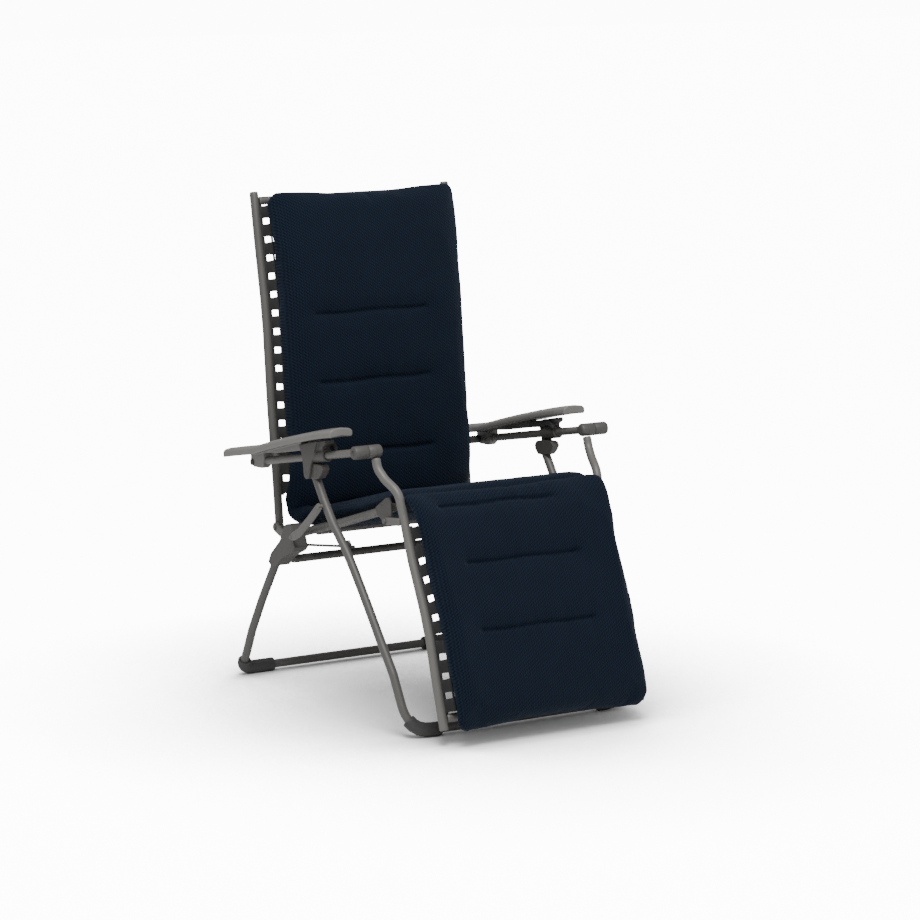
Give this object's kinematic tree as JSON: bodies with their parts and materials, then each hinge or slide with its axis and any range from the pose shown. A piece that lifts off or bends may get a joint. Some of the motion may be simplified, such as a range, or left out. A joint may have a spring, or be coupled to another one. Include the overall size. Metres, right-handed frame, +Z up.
{
  "type": "zero gravity recliner",
  "caption": "Folding tube-framed reclining chair whose padded back, seat and legrest tilt together as clamped arm rods slide, over crossed legs that fold.",
  "frame": {"origin": "on the floor, on the mirror plane, at the middle of the footprint box", "axes": "+Z up, the sitter faces -Y, X across the chair with the sitter's left at +X"},
  "size_m": [0.69, 0.9043, 1.1417],
  "materials": {
    "powder_coat_taupe": "satin taupe grey powder coat",
    "powder_coat_dark": "satin dark taupe powder coat",
    "plastic_taupe": "matte moulded taupe plastic",
    "plastic_dark": "matte dark grey plastic",
    "rubber_black": "matte black elastic clips",
    "mesh_fabric_navy": "padded three-dimensional mesh, navy",
    "steel_zinc": "zinc plated steel"
  },
  "bodies": {
    "rear_frame": {"rear_leg_frame": "powder_coat_dark", "rear_cross_brace": "powder_coat_dark", "knee_bracket_left": "plastic_taupe", "knee_bracket_right": "plastic_taupe", "strut_left": "powder_coat_taupe", "strut_right": "powder_coat_taupe", "rear_foot_left": "plastic_dark", "rear_foot_right": "plastic_dark"},
    "front_frame": {"front_leg_frame": "powder_coat_dark", "front_foot_left": "plastic_dark", "front_foot_right": "plastic_dark", "leg_top_left": "plastic_taupe", "leg_top_right": "plastic_taupe", "stay_clip_left": "plastic_dark", "stay_clip_right": "plastic_dark"},
    "stay_wires": {"stay_wire_left": "steel_zinc", "stay_wire_right": "steel_zinc"},
    "seat_frame": {"seat_tube_left": "powder_coat_taupe", "seat_tube_right": "powder_coat_taupe", "seat_cross_tube": "powder_coat_taupe", "seat_pad": "mesh_fabric_navy", "seat_link_left": "powder_coat_taupe", "seat_link_right": "powder_coat_taupe", "seat_bracket_left": "plastic_taupe", "seat_bracket_right": "plastic_taupe", "seat_lacing_left": "rubber_black", "seat_lacing_right": "rubber_black"},
    "back_pins": {"back_pin_left": "steel_zinc", "back_pin_right": "steel_zinc", "back_roll_pad": "mesh_fabric_navy"},
    "backrest": {"back_tube_left": "powder_coat_dark", "back_tube_right": "powder_coat_dark", "back_cross_tube": "powder_coat_dark", "back_pad": "mesh_fabric_navy", "back_lacing_left": "rubber_black", "back_lacing_right": "rubber_black"},
    "legrest_pins": {"legrest_pin_left": "steel_zinc", "legrest_pin_right": "steel_zinc", "front_roll_pad": "mesh_fabric_navy"},
    "legrest": {"legrest_tube_left": "powder_coat_taupe", "legrest_tube_right": "powder_coat_taupe", "legrest_cross_tube": "powder_coat_taupe", "legrest_pad": "mesh_fabric_navy", "legrest_lacing_left": "rubber_black", "legrest_lacing_right": "rubber_black", "tee_inner_left": "plastic_taupe", "tee_inner_right": "plastic_taupe"},
    "rod_pins": {"rod_pin_left": "steel_zinc", "rod_pin_right": "steel_zinc"},
    "arm_rods": {"arm_rod_left": "powder_coat_taupe", "arm_rod_right": "powder_coat_taupe", "tee_outer_left": "plastic_taupe", "tee_outer_right": "plastic_taupe"},
    "armrests": {"armrest_left": "powder_coat_taupe", "armrest_right": "powder_coat_taupe", "arm_clamp_left": "plastic_taupe", "arm_clamp_right": "plastic_taupe"},
    "lock_lever_left": {"lock_lever_left": "plastic_dark"},
    "lock_lever_right": {"lock_lever_right": "plastic_dark"}
  },
  "joints": [
    {"name": "fold", "type": "hinge", "parent": "rear_frame", "child": "front_frame", "pos_m": [0, 0.0031, 0.472], "axis": [1, 0, 0], "range_deg": [0, 62]},
    {"name": "seat_lift_in_fold", "type": "hinge", "parent": "rear_frame", "child": "stay_wires", "pos_m": [0, 0.2171, 0.35], "axis": [-1, 0, 0], "range_deg": [0, 9.5]},
    {"name": "seat_tilt_in_recline", "type": "hinge", "parent": "stay_wires", "child": "seat_frame", "pos_m": [0, 0.2171, 0.35], "axis": [-1, 0, 0], "range_deg": [0, 10.8]},
    {"name": "back_close_in_fold", "type": "hinge", "parent": "seat_frame", "child": "back_pins", "pos_m": [0, 0.2911, 0.374], "axis": [-1, 0, 0], "range_deg": [-46.6, 0]},
    {"name": "recline", "type": "hinge", "parent": "back_pins", "child": "backrest", "pos_m": [0, 0.2911, 0.374], "axis": [-1, 0, 0], "range_deg": [0, 40]},
    {"name": "legrest_close_in_fold", "type": "hinge", "parent": "seat_frame", "child": "legrest_pins", "pos_m": [0, -0.1899, 0.463], "axis": [-1, 0, 0], "range_deg": [-46.6, 0]},
    {"name": "legrest_lift_in_recline", "type": "hinge", "parent": "legrest_pins", "child": "legrest", "pos_m": [0, -0.1899, 0.463], "axis": [-1, 0, 0], "range_deg": [0, 40.2]},
    {"name": "rod_turn_in_fold", "type": "hinge", "parent": "backrest", "child": "rod_pins", "pos_m": [0, 0.3206, 0.5265], "axis": [-1, 0, 0], "range_deg": [0, 46.6]},
    {"name": "rod_turn_in_recline", "type": "hinge", "parent": "rod_pins", "child": "arm_rods", "pos_m": [0, 0.3206, 0.5265], "axis": [-1, 0, 0], "range_deg": [-40.2, 0]},
    {"name": "armrest_slide", "type": "slide", "parent": "arm_rods", "child": "armrests", "axis": [0, -0.9833, 0.1819], "range_m": [0, 0.1255]},
    {"name": "lock_lever_left_turn", "type": "hinge", "parent": "armrests", "child": "lock_lever_left", "pos_m": [0.291, 0.0191, 0.61], "axis": [1, 0, 0], "range_deg": [0, 30]},
    {"name": "lock_lever_right_turn", "type": "hinge", "parent": "armrests", "child": "lock_lever_right", "pos_m": [-0.291, 0.0191, 0.61], "axis": [1, 0, 0], "range_deg": [0, 30]}
  ],
  "couplings": [
    {"joint": "seat_lift_in_fold", "follows": "fold", "ratio": 0.152},
    {"joint": "back_close_in_fold", "follows": "fold", "ratio": -0.748},
    {"joint": "legrest_close_in_fold", "follows": "fold", "ratio": -0.748},
    {"joint": "rod_turn_in_fold", "follows": "fold", "ratio": 0.748},
    {"joint": "seat_tilt_in_recline", "follows": "recline", "ratio": 0.268},
    {"joint": "legrest_lift_in_recline", "follows": "recline", "ratio": 1},
    {"joint": "rod_turn_in_recline", "follows": "recline", "ratio": -1},
    {"joint": "armrest_slide", "follows": "recline", "m_per_rad": 0.1793}
  ]
}
